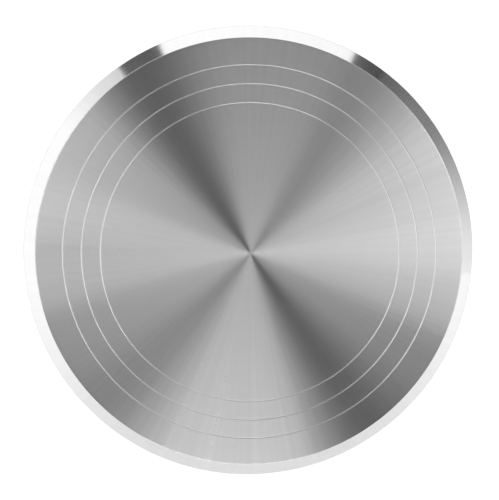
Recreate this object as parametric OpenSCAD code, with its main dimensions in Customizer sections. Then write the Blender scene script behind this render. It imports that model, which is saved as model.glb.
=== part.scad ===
// Banding wheel: a hand-turned potter's turntable on a cast pedestal.
// A dished wheel head with three guide rings is bolted to a hub. The hub's steel spindle
// runs in two shielded ball bearings inside the pedestal, which stands on a rubber ring.
// Millimetres, +Z up, with the origin on the table under the middle of the foot.

/* [Wheel head] */
// Overall diameter of the wheel head
head_d = 304; // [290:1:330]
// Width of the bevel round the work face, seen from above
bevel_w = 9; // [6:0.5:11]
// Drop of the bevel
bevel_h = 9; // [7:0.5:11]
// Height of the upright band below the bevel
rim_band_h = 3; // [2:0.5:6]
// Radius of the turned edges of the rim
rim_edge_r = 1; // [0.4:0.1:1.4]
// Wall of the dished rim
rim_wall = 5; // [4:0.5:6]
// Thickness of the plate under the work face
plate_t = 5; // [4:0.5:6]
// Width of the land that the boss leaves round the hub's flange
boss_land = 3; // [2:0.5:12]
// Height of the boss below the plate
boss_h = 4; // [3:0.5:6]
// Number of ribs under the plate
head_ribs = 8; // [4:2:12]
// Thickness of a rib under the plate
head_rib_t = 4; // [3:0.5:6]
// How far the ribs stop short of the rim's lower edge
head_rib_setback = 2; // [1:0.5:3]

/* [Guide rings] */
// Diameter of the smallest guide ring
guide_ring_d = 200; // [160:1:205]
// Step in diameter from one guide ring to the next
guide_ring_step = 25; // [15:1:30]
// Number of guide rings
guide_rings = 3; // [1:1:3]
// Width of a guide ring's groove
groove_w = 1; // [0.6:0.1:1.6]
// Depth of a guide ring's groove
groove_depth = 0.35; // [0.2:0.05:0.45]

/* [Hub] */
// Height of the hub, from its skirt to its flange's top face
hub_h = 28; // [27:0.5:34]
// Wall of the skirt that covers the pedestal's lip
skirt_wall = 7; // [5:0.5:8]
// Room between the lip's top and the hub
lip_room = 4; // [2:0.5:5]
// Thickness of the hub's bolting flange
hub_flange_t = 8; // [6:0.5:10]
// Width of the land that the flange leaves outside its screws' heads
flange_land = 2.5; // [1.5:0.5:5]
// Fillet between the hub's neck and its flange
hub_fillet_r = 3.5; // [2:0.5:4]
// Radius of the turned edges of the hub and of the pedestal's collar
hub_edge_r = 1; // [0.4:0.1:1.5]

/* [Screws] */
// Number of screws that hold the hub to the wheel head
head_screws = 4; // [3:1:8]
// Room between a screw's head and the hub's fillet
screw_head_room = 1; // [0.5:0.5:4]
// Thread diameter of the screws
screw_d = 6; // [5:1:6]
// Diameter of a screw's head
screw_head_d = 10; // [9:0.5:10]
// Height of a screw's head
screw_head_h = 6; // [4:0.5:7]
// Width across the flats of a screw's socket
screw_key_af = 5; // [4:0.5:6]
// Length of thread in the wheel head's boss
screw_grip = 6.5; // [4:0.5:6.5]
// Chamfer on a screw's head and tip
screw_chamfer = 0.5; // [0.3:0.1:0.8]
// Length of the set screws that lock the hub to the spindle
set_screw_l = 12; // [8:1:16]
// Height of the set screws above the hub's seat on the spindle
set_screw_rise = 5; // [4:0.5:6]
// Width across the flats of a set screw's socket
set_screw_key_af = 3; // [2.5:0.5:3]

/* [Spindle] */
// Diameter of the spindle in the bearings and the hub
spindle_d = 20; // [18:1:21]
// How far the spindle's collar and the shim stay in from the inner race's edge
race_land = 0.2; // [0.1:0.1:1]
// Length of the spindle's spigot in the wheel head's boss
spigot_l = 3.5; // [2:0.5:5]
// Length of the spindle below its retaining ring
spindle_tail = 3; // [2:0.5:6]
// Chamfer on the spindle's ends
spindle_chamfer = 1; // [0.5:0.25:2]
// Depth of the centre drilled in the spindle's lower end
centre_drill_depth = 3; // [2:0.5:5]
// Diameter of the centre drilled in the spindle's lower end
centre_drill_d = 6; // [4:0.5:8]

/* [Bearings] */
// Outer diameter of a bearing
bearing_d = 42; // [41:1:44]
// Width of a bearing
bearing_w = 12; // [11:0.5:14]
// Diameter of a ball
ball_d = 6.35; // [6:0.05:6.6]
// Number of balls in a bearing
balls = 9; // [6:1:9]
// Gap between the shoulders of the two races
race_gap = 4.6; // [4.4:0.1:4.8]
// Radial width of the ball cage
cage_w = 2.4; // [1.8:0.1:2.6]
// Sheet thickness of the ball cage
cage_t = 0.8; // [0.5:0.1:0.9]
// Thickness of a bearing shield
shield_t = 0.5; // [0.3:0.1:0.6]
// How far a shield lies in from the bearing's face
shield_inset = 0.5; // [0.3:0.1:0.6]
// Depth of the seat for a shield in the outer race
shield_seat = 1; // [0.6:0.1:1.2]
// Radius of a race's outer edges
race_edge_r = 0.6; // [0.3:0.1:0.8]
// Length of the spacer between the inner races
spacer_l = 39.5; // [30:0.5:46]
// Wall of the spacer
spacer_wall = 2.5; // [1.5:0.25:2.75]

/* [Retaining ring] */
// Thickness of the retaining ring on the spindle
clip_t = 1.2; // [1:0.1:1.5]
// Radial depth of the retaining ring's groove
clip_groove = 0.5; // [0.3:0.1:0.8]
// Radial width of the retaining ring opposite its gap
clip_w = 3; // [2.5:0.1:3.2]
// Width of the retaining ring's gap
clip_gap = 5; // [4:0.5:6]
// Diameter of a plier hole in the retaining ring
clip_hole_d = 2; // [1.5:0.1:2.2]
// Thickness of the shim above the retaining ring
shim_t = 1; // [0.5:0.1:1.5]

/* [Pedestal] */
// Diameter of the foot
foot_d = 190; // [180:1:200]
// Height of the foot's edge
foot_h = 12; // [10:0.5:16]
// Radius of the foot's upper edge
foot_edge_r = 3; // [2:0.5:6]
// Height from the foot's underside to the collar's shoulder
pedestal_h = 97; // [94:0.5:110]
// Radius of the cove that steps the neck out to the collar
cove_r = 3; // [2:0.5:5]
// Height of the collar on top of the neck
collar_h = 10; // [8:0.5:14]
// Height of the lip that stands inside the hub's skirt
lip_h = 4; // [3:0.5:5]
// Wall of the lip and of the bearing housing in the hollow
housing_wall = 6; // [5:0.5:6]
// How far the housing runs down past the lower bearing
housing_skirt = 18.5; // [10:0.5:24]
// How far the upper bearing lies in from the lip
bearing_recess = 2; // [1:0.5:3]
// Width of the housing's shoulder that parts the bearings
housing_shoulder_w = 3; // [2:0.5:4]
// Wall of the flared shell
shell_wall = 6; // [5:0.5:7]
// Height of the hollow under the foot
hollow_h = 46; // [40:1:48]
// Number of ribs in the hollow
foot_ribs = 4; // [4:2:8]
// Thickness of a rib in the hollow
foot_rib_t = 5; // [4:0.5:7]
// How far the ribs stop short of the foot's underside
foot_rib_setback = 7; // [5:0.5:10]

/* [Foot ring] */
// How far the rubber ring lies in from the foot's edge
foot_ring_inset = 3.5; // [2.5:0.5:4]
// Width of the rubber ring
foot_ring_w = 10; // [8:0.5:12]
// Width of the foot's rim inside the rubber ring
foot_ring_land = 3.5; // [2.5:0.5:8]
// Height of the rubber ring
foot_ring_h = 6; // [5:0.5:8]
// How far the rubber ring stands proud of the foot
foot_ring_proud = 3; // [2:0.5:4]
// Radius of the rubber ring's lower edges
sole_edge_r = 1; // [0.5:0.1:1.2]
// Number of grip grooves round the rubber ring's sole
grip_grooves = 2; // [1:1:3]
// Width of a grip groove
grip_groove_w = 1.2; // [0.8:0.1:1.3]

/* [Fits] */
// Gap between the turning hub and the pedestal
running_gap = 1; // [0.8:0.1:1.2]
// Clearance of parts that are pressed or slid together
fit_gap = 0.02; // [0.01:0.01:0.04]
// Clearance between the balls and their raceways
ball_gap = 0.03; // [0.02:0.01:0.05]
// Clearance of a ball in its cage pocket
pocket_gap = 0.1; // [0.05:0.05:0.15]
// Radial clearance of a shield round the inner race
shield_gap = 0.3; // [0.2:0.05:0.4]
// Radial clearance of a screw in its tapped hole
thread_gap = 0.05; // [0.03:0.01:0.1]
// Radial clearance of a screw in its through hole
screw_gap = 0.3; // [0.2:0.05:0.5]
// Gap beyond the end of a screw or a spigot in its blind hole
end_gap = 0.5; // [0.3:0.1:0.8]

/* [Hidden] */
$fn = 96;
overlap = 1;

spindle_r = spindle_d / 2;
bearing_r = bearing_d / 2;
ball_r = ball_d / 2;
ball_turn = 90 / balls;
pitch_r = (spindle_r + bearing_r) / 2;
inner_race_r = pitch_r - race_gap / 2;
outer_race_r = pitch_r + race_gap / 2;
race_collar_r = inner_race_r - race_land;

housing_r = bearing_r + housing_wall;
skirt_r = housing_r + running_gap;
collar_r = skirt_r + skirt_wall;
neck_r = collar_r - cove_r;
screw_circle_r = collar_r + hub_fillet_r + screw_head_room + screw_head_d / 2;
flange_r = screw_circle_r + screw_head_d / 2 + flange_land;
boss_r = flange_r + boss_land;
set_screw_angles = [0, 90];

head_r = head_d / 2;
face_r = head_r - bevel_w;

foot_r = foot_d / 2;
foot_ring_r = foot_r - foot_ring_inset;
foot_rim_r = foot_ring_r - foot_ring_w - foot_ring_land;
flare_r = foot_r - foot_edge_r - neck_r;

// Heights of the pedestal and the hub
z_foot = foot_ring_proud;
z_foot_top = z_foot + foot_h;
z_hollow = z_foot + hollow_h;
z_flare_top = z_foot_top + flare_r;
z_shoulder = z_foot + pedestal_h;
z_lip = z_shoulder + lip_h;
z_skirt = z_shoulder + running_gap;
z_hub_seat = z_lip + lip_room;
z_hub_top = z_skirt + hub_h;
z_flange = z_hub_top - hub_flange_t;

// Heights of the wheel head
z_plate = z_hub_top + boss_h;
z_face = z_plate + plate_t;
z_bevel = z_face - bevel_h;
z_rim = z_bevel - rim_band_h;
z_head_rib = z_rim + head_rib_setback;

// Heights of the bearings and of what holds them
z_upper_top = z_lip - bearing_recess;
z_upper = z_upper_top - bearing_w / 2;
z_spacer_top = z_upper_top - bearing_w;
z_lower_top = z_spacer_top - spacer_l;
z_lower = z_lower_top - bearing_w / 2;
z_lower_bottom = z_lower_top - bearing_w;
z_housing = z_lower_bottom - housing_skirt;
z_clip_top = z_lower_bottom - shim_t;
z_clip = z_clip_top - clip_t;
z_spindle = z_clip - spindle_tail;

flare_centre = [neck_r + flare_r, z_flare_top];

turned_aluminium = [0.80, 0.81, 0.82];
cast_aluminium = [0.70, 0.71, 0.73];
bright_steel = [0.74, 0.74, 0.76];
dark_steel = [0.20, 0.20, 0.21];
brass = [0.78, 0.64, 0.34];
black_rubber = [0.07, 0.07, 0.07];

// Radius of the rim's inner slope, which runs parallel to the bevel, at height z
function rim_inner_r(z) =
    face_r + (bevel_w * (z_face - z) - rim_wall * norm([bevel_w, bevel_h])) / bevel_h;

// What a turned radius r takes off the corner p between its neighbours a and b
module corner_cut(a, p, b, r) {
    along = (a - p) / norm(a - p);
    back = (b - p) / norm(b - p);
    half = acos(along * back) / 2;
    inward = (along + back) / norm(along + back);
    reach = r / tan(half);
    centre = p + inward * r / sin(half);
    difference() {
        polygon([p - inward * r, p + along * reach, centre, p + back * reach]);
        translate(centre) circle(r);
    }
}

// The half section of a plain ring, from radius r1 to r2 and from height z1 to z2
module section(r1, r2, z1, z2) {
    translate([r1, z1]) square([r2 - r1, z2 - z1]);
}

module tube(r1, r2, z1, z2) {
    rotate_extrude() section(r1, r2, z1, z2);
}

// Copies its children n times round the axis, the first at angle first
module around(n, first = 0) {
    for (k = [0:n - 1]) rotate(first + 360 * k / n) children();
}

// A radial plate of thickness t, cut to the half section that it is given
module radial_plate(t) {
    rotate([90, 0, 0]) translate([0, 0, -t / 2]) linear_extrude(t) children();
}

// Wheel head

module wheel_head_section() {
    top_corner = [face_r, z_face];
    bevel_corner = [head_r, z_bevel];
    low_corner = [head_r, z_rim];
    difference() {
        polygon([[0, z_face], top_corner, bevel_corner, low_corner, [0, z_rim]]);
        corner_cut([0, z_face], top_corner, bevel_corner, rim_edge_r);
        corner_cut(top_corner, bevel_corner, low_corner, rim_edge_r);
        dish_section();
        guide_groove_sections();
    }
}

// The hollow that the plate and the rim leave under the wheel head
module dish_section() {
    z_below = z_rim - overlap;
    intersection() {
        section(0, head_r - rim_wall, z_below, z_plate);
        polygon([
            [0, z_plate + overlap],
            [rim_inner_r(z_plate + overlap), z_plate + overlap],
            [rim_inner_r(z_below), z_below],
            [0, z_below]
        ]);
    }
}

module guide_groove_sections() {
    tool_r = (pow(groove_w / 2, 2) + pow(groove_depth, 2)) / (2 * groove_depth);
    for (k = [0:guide_rings - 1])
        translate([(guide_ring_d + k * guide_ring_step) / 2, z_face + tool_r - groove_depth])
            circle(tool_r);
}

module head_rib_section() {
    root = rim_wall / 3;
    z_root = z_plate + plate_t / 3;
    polygon([
        [boss_r - overlap, z_root],
        [rim_inner_r(z_root) + root, z_root],
        [rim_inner_r(z_head_rib) + root, z_head_rib],
        [boss_r - overlap, z_head_rib]
    ]);
}

module wheel_head() {
    color(turned_aluminium) difference() {
        union() {
            rotate_extrude() wheel_head_section();
            tube(0, boss_r, z_hub_top, z_plate + plate_t / 2);
            around(head_ribs, 180 / head_ribs) radial_plate(head_rib_t) head_rib_section();
        }
        tube(0, spindle_r + fit_gap, z_hub_top - overlap, z_hub_top + spigot_l + end_gap);
        at_head_screws(z_hub_top - overlap)
            cylinder(d = screw_d, h = overlap + screw_grip + end_gap);
    }
}

// Hub and its screws

module hub_section() {
    fillet_centre = [collar_r + hub_fillet_r, z_flange - hub_fillet_r];
    difference() {
        union() {
            section(0, flange_r, z_flange, z_hub_top);
            section(0, collar_r, z_skirt, z_flange + overlap);
            section(0, fillet_centre.x, fillet_centre.y, z_flange + overlap);
        }
        translate(fillet_centre) circle(hub_fillet_r);
        corner_cut([0, z_flange], [flange_r, z_flange], [flange_r, z_hub_top], hub_edge_r);
        corner_cut([0, z_skirt], [collar_r, z_skirt], [collar_r, z_flange], hub_edge_r);
        section(0, spindle_r + fit_gap, z_skirt - overlap, z_hub_top + overlap);
        section(0, skirt_r, z_skirt - overlap, z_hub_seat);
    }
}

module hub() {
    color(cast_aluminium) difference() {
        rotate_extrude() hub_section();
        at_head_screws(z_flange - overlap)
            cylinder(d = screw_d + 2 * screw_gap, h = hub_flange_t + 2 * overlap);
        at_set_screws(collar_r + overlap) cylinder(d = screw_d, h = collar_r);
    }
}

// Places its children on each head screw's axis, at height z
module at_head_screws(z) {
    around(head_screws, 180 / head_screws) translate([screw_circle_r, 0, z]) children();
}

// Places its children on each set screw's axis, at radius r, pointing at the spindle
module at_set_screws(r) {
    for (angle = set_screw_angles)
        rotate(angle) translate([r, 0, z_hub_seat + set_screw_rise]) rotate([0, -90, 0]) children();
}

// A hexagonal key socket that opens at height 0 and runs up by depth
module key_socket(across_flats, depth) {
    translate([0, 0, -overlap])
        cylinder(d = across_flats / cos(30), h = depth + overlap, $fn = 6);
}

module cap_screw() {
    head_r = screw_head_d / 2;
    shank_r = screw_d / 2 - thread_gap;
    length = hub_flange_t + screw_grip;
    difference() {
        rotate_extrude() polygon([
            [0, -screw_head_h],
            [head_r - screw_chamfer, -screw_head_h],
            [head_r, screw_chamfer - screw_head_h],
            [head_r, 0],
            [shank_r, 0],
            [shank_r, length - screw_chamfer],
            [shank_r - screw_chamfer, length],
            [0, length]
        ]);
        translate([0, 0, -screw_head_h]) key_socket(screw_key_af, screw_head_h / 2);
    }
}

module head_screw_set() {
    color(dark_steel) at_head_screws(z_flange) cap_screw();
}

module set_screw() {
    shank_r = screw_d / 2 - thread_gap;
    point_r = shank_r / 2;
    difference() {
        rotate_extrude() polygon([
            [0, 0],
            [shank_r, 0],
            [shank_r, set_screw_l - point_r],
            [point_r, set_screw_l],
            [0, set_screw_l]
        ]);
        key_socket(set_screw_key_af, set_screw_l / 3);
    }
}

module set_screw_pair() {
    color(dark_steel) at_set_screws(spindle_r + fit_gap + set_screw_l) set_screw();
}

// Spindle and what is threaded on it

module spindle_section() {
    z_top = z_hub_top + spigot_l;
    difference() {
        polygon([
            [0, z_spindle],
            [spindle_r - spindle_chamfer, z_spindle],
            [spindle_r, z_spindle + spindle_chamfer],
            [spindle_r, z_upper_top],
            [race_collar_r, z_upper_top],
            [race_collar_r, z_hub_seat],
            [spindle_r, z_hub_seat],
            [spindle_r, z_top - spindle_chamfer],
            [spindle_r - spindle_chamfer, z_top],
            [0, z_top]
        ]);
        section(spindle_r - clip_groove, bearing_r, z_clip - fit_gap, z_clip_top);
        polygon([
            [0, z_spindle - overlap],
            [centre_drill_d / 2, z_spindle - overlap],
            [centre_drill_d / 2, z_spindle],
            [0, z_spindle + centre_drill_depth]
        ]);
    }
}

module spindle() {
    color(bright_steel) rotate_extrude() spindle_section();
}

module spacer() {
    inner_r = spindle_r + fit_gap;
    color(bright_steel) tube(inner_r, inner_r + spacer_wall, z_lower_top, z_spacer_top);
}

module shim() {
    color(brass) tube(spindle_r + fit_gap, race_collar_r, z_clip_top, z_lower_bottom);
}

// An open spring ring with a plier hole in each ear
module retaining_ring() {
    inner_r = spindle_r - clip_groove + fit_gap;
    thin = clip_w / 2;
    ear_r = clip_hole_d / 2 + thin / 2;
    ear_y = clip_gap / 2 + ear_r;
    ear_x = inner_r + ear_r;
    color(dark_steel) translate([0, 0, z_clip]) linear_extrude(clip_t) difference() {
        union() {
            translate([-thin / 2, 0]) circle(inner_r + (clip_w + thin) / 2);
            for (side = [-1, 1]) translate([ear_x, side * ear_y]) circle(ear_r);
        }
        circle(inner_r);
        translate([0, -clip_gap / 2]) square([ear_x + 2 * ear_r, clip_gap]);
        for (side = [-1, 1]) translate([ear_x, side * ear_y]) circle(d = clip_hole_d);
    }
}

// Ball bearings, each about the height z of its middle

// The half section of a race, from its seat to its shoulder, with the seat's edges rounded
module race_section(seat_r, shoulder_r, z) {
    z_low = z - bearing_w / 2;
    z_high = z + bearing_w / 2;
    difference() {
        section(min(seat_r, shoulder_r), max(seat_r, shoulder_r), z_low, z_high);
        corner_cut([shoulder_r, z_low], [seat_r, z_low], [seat_r, z_high], race_edge_r);
        corner_cut([shoulder_r, z_high], [seat_r, z_high], [seat_r, z_low], race_edge_r);
        translate([pitch_r, z]) circle(ball_r + ball_gap);
    }
}

module inner_race(z) {
    color(bright_steel) rotate_extrude() race_section(spindle_r + fit_gap, inner_race_r, z);
}

module outer_race(z) {
    seat = shield_inset + shield_t;
    color(bright_steel) rotate_extrude() difference() {
        race_section(bearing_r - fit_gap, outer_race_r, z);
        for (side = [-1, 1])
            translate([outer_race_r - overlap, z + side * (bearing_w - seat) / 2 - seat / 2])
                square([overlap + shield_seat, seat]);
    }
}

module shields(z) {
    middle = bearing_w / 2 - shield_inset - shield_t / 2;
    color(dark_steel) for (side = [-1, 1])
        translate([0, 0, z + side * middle])
            tube(inner_race_r + shield_gap, outer_race_r + shield_seat - fit_gap,
                -shield_t / 2, shield_t / 2);
}

module ball_set(z) {
    color(bright_steel) around(balls, ball_turn) translate([pitch_r, 0, z]) sphere(ball_r);
}

// A ribbon that runs from ball to ball, with a round eye that holds each of them
module cage(z) {
    eye_r = ball_r + pocket_gap;
    ribbon_w = cage_w - cage_t / 2;
    color(dark_steel) translate([0, 0, z]) difference() {
        union() {
            tube(pitch_r - ribbon_w / 2, pitch_r + ribbon_w / 2, -cage_t, cage_t);
            around(balls, ball_turn) radial_pin(eye_r + cage_t, cage_w);
        }
        around(balls, ball_turn) radial_pin(eye_r, ball_d);
    }
}

// A pin of radius r and the given length that lies across the pitch circle
module radial_pin(r, length) {
    translate([pitch_r, 0, 0]) rotate([0, 90, 0]) cylinder(r = r, h = length, center = true);
}

// Pedestal

module pedestal_outline() {
    z_cove = z_shoulder - collar_h - cove_r;
    difference() {
        union() {
            section(0, foot_r, z_foot, z_foot_top);
            flare_section();
            section(0, neck_r, z_foot, z_shoulder);
            difference() {
                section(0, collar_r, z_cove, z_shoulder);
                translate([collar_r, z_cove]) circle(cove_r);
            }
            section(0, housing_r, z_shoulder - overlap, z_lip);
        }
        corner_cut([0, z_foot_top], [foot_r, z_foot_top], [foot_r, z_foot], foot_edge_r);
        corner_cut([0, z_shoulder], [collar_r, z_shoulder], [collar_r, z_cove], hub_edge_r);
    }
}

// The sweep from the foot up to the neck, tangent to both
module flare_section() {
    difference() {
        section(0, flare_centre.x, z_foot_top - overlap, z_flare_top);
        translate(flare_centre) circle(flare_r);
    }
}

module bearing_housing_bore() {
    section(0, bearing_r, z_spacer_top, z_lip + overlap);
    section(0, bearing_r - housing_shoulder_w, z_housing - overlap, z_lip + overlap);
    section(0, bearing_r, z_housing - overlap, z_lower_top);
}

// The hollow under the foot, grown by g into the walls round it
module hollow_section(g = 0) {
    z_below = z_foot - overlap;
    difference() {
        section(housing_r - g, foot_rim_r + g, z_below, z_hollow + g);
        translate(flare_centre) circle(flare_r + shell_wall - g);
    }
    section(0, housing_r, z_below, z_housing);
}

module foot_rib_section() {
    root = shell_wall / 3;
    intersection() {
        hollow_section(root);
        polygon([
            [housing_r - root, z_housing],
            [housing_r - root, z_hollow + root],
            [foot_rim_r + root, z_hollow + root],
            [foot_rim_r + root, z_foot + foot_rib_setback]
        ]);
    }
}

module pedestal() {
    color(cast_aluminium) {
        rotate_extrude() difference() {
            pedestal_outline();
            bearing_housing_bore();
            hollow_section();
            section(foot_ring_r - foot_ring_w - fit_gap, foot_ring_r + fit_gap,
                z_foot - overlap, foot_ring_h);
        }
        around(foot_ribs, 180 / foot_ribs) radial_plate(foot_rib_t) foot_rib_section();
    }
}

module foot_ring() {
    inner_r = foot_ring_r - foot_ring_w;
    pitch = foot_ring_w / (grip_grooves + 1);
    color(black_rubber) rotate_extrude() difference() {
        section(inner_r, foot_ring_r, 0, foot_ring_h);
        corner_cut([foot_ring_r, 0], [inner_r, 0], [inner_r, foot_ring_h], sole_edge_r);
        corner_cut([inner_r, 0], [foot_ring_r, 0], [foot_ring_r, foot_ring_h], sole_edge_r);
        for (k = [1:grip_grooves]) translate([inner_r + k * pitch, 0]) circle(d = grip_groove_w);
    }
}

wheel_head();
hub();
head_screw_set();  // head_screws
set_screw_pair();  // set_screws
spindle();
spacer();
shim();
retaining_ring();
inner_race(z_upper);  // upper_inner_race
outer_race(z_upper);  // upper_outer_race
ball_set(z_upper);  // upper_balls
cage(z_upper);  // upper_cage
shields(z_upper);  // upper_shields
inner_race(z_lower);  // lower_inner_race
outer_race(z_lower);  // lower_outer_race
ball_set(z_lower);  // lower_balls
cage(z_lower);  // lower_cage
shields(z_lower);  // lower_shields
pedestal();
foot_ring();
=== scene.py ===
"""Banding wheel in a plain studio: a turned aluminium wheel head on a cast pedestal.

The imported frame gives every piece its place. The pieces that can be seen are modelled again here
with fine edges, grooves and knurls, and every piece gets its finish. Lengths are in metres.
"""

import logging
import math
from abc import ABC, abstractmethod
from dataclasses import dataclass
from enum import Enum
from functools import cache
from itertools import pairwise
from typing import Callable, Sequence, Union

import bpy
from mathutils import Matrix, Vector


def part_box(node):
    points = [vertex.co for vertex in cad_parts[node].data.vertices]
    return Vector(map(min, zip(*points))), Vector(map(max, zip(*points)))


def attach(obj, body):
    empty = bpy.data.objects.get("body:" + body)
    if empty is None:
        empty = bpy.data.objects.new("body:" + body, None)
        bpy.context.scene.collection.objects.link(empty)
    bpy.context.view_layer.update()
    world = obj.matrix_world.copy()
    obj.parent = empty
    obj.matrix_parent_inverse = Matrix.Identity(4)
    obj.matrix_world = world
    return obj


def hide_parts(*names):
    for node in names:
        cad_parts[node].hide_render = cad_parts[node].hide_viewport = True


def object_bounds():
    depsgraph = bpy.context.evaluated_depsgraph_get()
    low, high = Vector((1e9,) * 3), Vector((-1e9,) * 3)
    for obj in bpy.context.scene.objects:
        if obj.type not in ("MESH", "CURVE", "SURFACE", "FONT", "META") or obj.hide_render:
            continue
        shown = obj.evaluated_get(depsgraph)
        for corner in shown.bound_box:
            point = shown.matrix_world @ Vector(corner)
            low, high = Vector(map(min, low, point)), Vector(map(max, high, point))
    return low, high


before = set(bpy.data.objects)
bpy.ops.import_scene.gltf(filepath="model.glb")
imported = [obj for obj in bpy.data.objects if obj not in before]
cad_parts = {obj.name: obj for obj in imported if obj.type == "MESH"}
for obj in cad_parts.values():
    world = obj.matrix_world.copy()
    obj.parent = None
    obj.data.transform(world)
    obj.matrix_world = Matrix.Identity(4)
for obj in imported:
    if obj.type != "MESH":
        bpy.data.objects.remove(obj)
cad_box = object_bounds()

log = logging.getLogger("banding_wheel")

MM = 0.001
IMAGE_WIDTH = 499
IMAGE_HEIGHT = 500
FULL_TURN = 2 * math.pi
RIGHT_ANGLE = math.pi / 2
ARC_SAG = 0.01 * MM
ARC_STEPS_LEAST = 3
SMOOTH_BELOW = math.radians(32)
MERGE_GAP = 0.004 * MM
HOLE_SIDES = 32
HEXAGON = 6
# A broken edge is this many times finer than a turned one
FINER = 3
# The heights of the normals of a nearly upright face and of a nearly level one
NEARLY_UPRIGHT = 0.1
NEARLY_LEVEL = 0.9
# The range that holds nearly all of a noise
NOISE_LOW = 0.25
NOISE_HIGH = 0.75
# A quarter of a turn, as the shader counts it
SHADER_QUARTER = 0.25
WHITE = (1, 1, 1, 1)

Colour = tuple[float, float, float]
Material = bpy.types.Material
Owner = Union[Material, bpy.types.World]
Socket = bpy.types.NodeSocket
Input = Union[float, tuple, Socket]
Inputs = dict[Union[int, str], Input]
FaceTest = Callable[[Vector, Vector], bool]


class Slot(Enum):
    """The material slots of the part's record."""

    TURNED_ALUMINIUM = "turned_aluminium"
    CAST_ALUMINIUM = "cast_aluminium"
    BEARING_STEEL = "bearing_steel"
    BLACK_OXIDE_STEEL = "black_oxide_steel"
    PRESSED_STEEL = "pressed_steel"
    BRASS = "brass"
    RUBBER = "rubber"


class Body(Enum):
    """The bodies that carry the new pieces."""

    BASE = "base"
    WHEEL = "wheel"


class Place(Enum):
    """The places of the two bearings, as their nodes' names begin."""

    UPPER = "upper"
    LOWER = "lower"


class Combine(Enum):
    """How a tool solid changes the piece that it meets."""

    ADD = "UNION"
    CUT = "DIFFERENCE"


class Ease(Enum):
    """How a value goes from one end of a range to the other."""

    EVEN = "LINEAR"
    SOFT = "SMOOTHSTEP"


# Finishes


class Graph:
    """The shader nodes of a material or of the sky, wired step by step."""

    MIX_SHARE = 0
    MIX_LOW = 6
    MIX_HIGH = 7
    MIX_RESULT = 2

    def __init__(self, owner: Owner) -> None:
        """Starts with no nodes.

        Args:
            owner: The material or the sky.
        """
        owner.use_nodes = True
        self.owner = owner
        self.tree = owner.node_tree
        self.tree.nodes.clear()

    def add(self, kind: str, inputs: Inputs, **options: str) -> bpy.types.NodeOutputs:
        """Adds a node and feeds its inputs.

        Args:
            kind: The node's type, without its first words.
            inputs: A value or another node's output for each input, by name or number.
            options: The node's own options.

        Returns:
            The node's outputs.
        """
        node = self.tree.nodes.new(f"ShaderNode{kind}")
        for option, value in options.items():
            setattr(node, option, value)
        for key, value in inputs.items():
            if isinstance(value, Socket):
                self.tree.links.new(value, node.inputs[key])
            else:
                node.inputs[key].default_value = value
        return node.outputs

    def point(self) -> Socket:
        """Returns the place on the piece, in metres."""
        return self.add("TexCoord", {})["Object"]

    def vector(self, operation: str, *values: Input) -> bpy.types.NodeOutputs:
        """Works on vectors, and returns the vector and value outputs."""
        return self.add("VectorMath", dict(enumerate(values)), operation=operation)

    def math(self, operation: str, *values: Input) -> Socket:
        """Works on numbers, and returns the result."""
        return self.add("Math", dict(enumerate(values)), operation=operation)[0]

    def noise(self, place: Input, size: float, detail: float = 2.0, along: bool = False) -> Socket:
        """Makes soft noise.

        Args:
            place: Where the noise is read: a point in space, or a length such as a radius.
            size: The size of one patch, in the units of place.
            detail: How many finer layers are added.
            along: Whether place is a length.

        Returns:
            Values from 0 to 1, mostly near a half.
        """
        socket, dimensions = ("W", "1D") if along else ("Vector", "3D")
        inputs = {socket: place, "Scale": 1 / size, "Detail": detail}
        return self.add("TexNoise", inputs, noise_dimensions=dimensions)[0]

    def between(
        self, value: Input, low: float, high: float,
        start: float = NOISE_LOW, end: float = NOISE_HIGH, ease: Ease = Ease.EVEN,
    ) -> Socket:
        """Takes a value from its own range to another.

        Args:
            value: The value, which is a noise where no range is given.
            low: The result where its range starts.
            high: The result where its range ends.
            start: Where its range starts.
            end: Where its range ends.
            ease: How the result goes from low to high.

        Returns:
            The result, which stays between low and high.
        """
        ends = {"From Min": start, "From Max": end, "To Min": low, "To Max": high}
        return self.add("MapRange", {"Value": value, **ends}, interpolation_type=ease.value)[0]

    def about(self, noise: Input, middle: float, spread: float) -> Socket:
        """Returns middle, less spread where a noise is low and plus spread where it is high."""
        return self.between(noise, middle - spread, middle + spread)

    def tint(self, noise: Input, low: Colour, high: Colour) -> Socket:
        """Blends two colours by a noise.

        Args:
            noise: The noise.
            low: The colour where the noise is low.
            high: The colour where the noise is high.

        Returns:
            The blended colour.
        """
        colours = {self.MIX_LOW: (*low, 1), self.MIX_HIGH: (*high, 1)}
        share = self.between(noise, 0.0, 1.0)
        return self.add("Mix", {self.MIX_SHARE: share, **colours}, data_type="RGBA")[self.MIX_RESULT]

    def bump(self, height: Input, depth: float) -> Socket:
        """Returns the normal as it is bent by a height from 0 to 1, where 1 is depth metres."""
        return self.add("Bump", {"Height": height, "Distance": depth})[0]

    def end(self, kind: str, shader: Socket) -> Owner:
        """Ends the graph in a shader, and returns its material or sky."""
        self.add(f"Output{kind}", {"Surface": shader})
        return self.owner


@dataclass(frozen=True)
class Finish(ABC):
    """What every finish has.

    Attributes:
        name: The material's name.
        slot: The slot of the record that it belongs to; not used.
        colour: The main colour.
        roughness: How dull it is.
        spread: How much the roughness varies.
        depth: The depth of its marks, grain or pebble.
    """

    name: str
    slot: Slot
    colour: Colour
    roughness: float
    spread: float
    depth: float

    @abstractmethod
    def wire(self, graph: Graph) -> Inputs:
        """Wires the finish in a graph, and returns the inputs of its shader."""

    @cache
    def material(self) -> Material:
        """Makes the finish's material the first time, and returns it."""
        graph = Graph(bpy.data.materials.new(self.name))
        return graph.end("Material", graph.add("BsdfPrincipled", self.wire(graph))[0])


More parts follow.
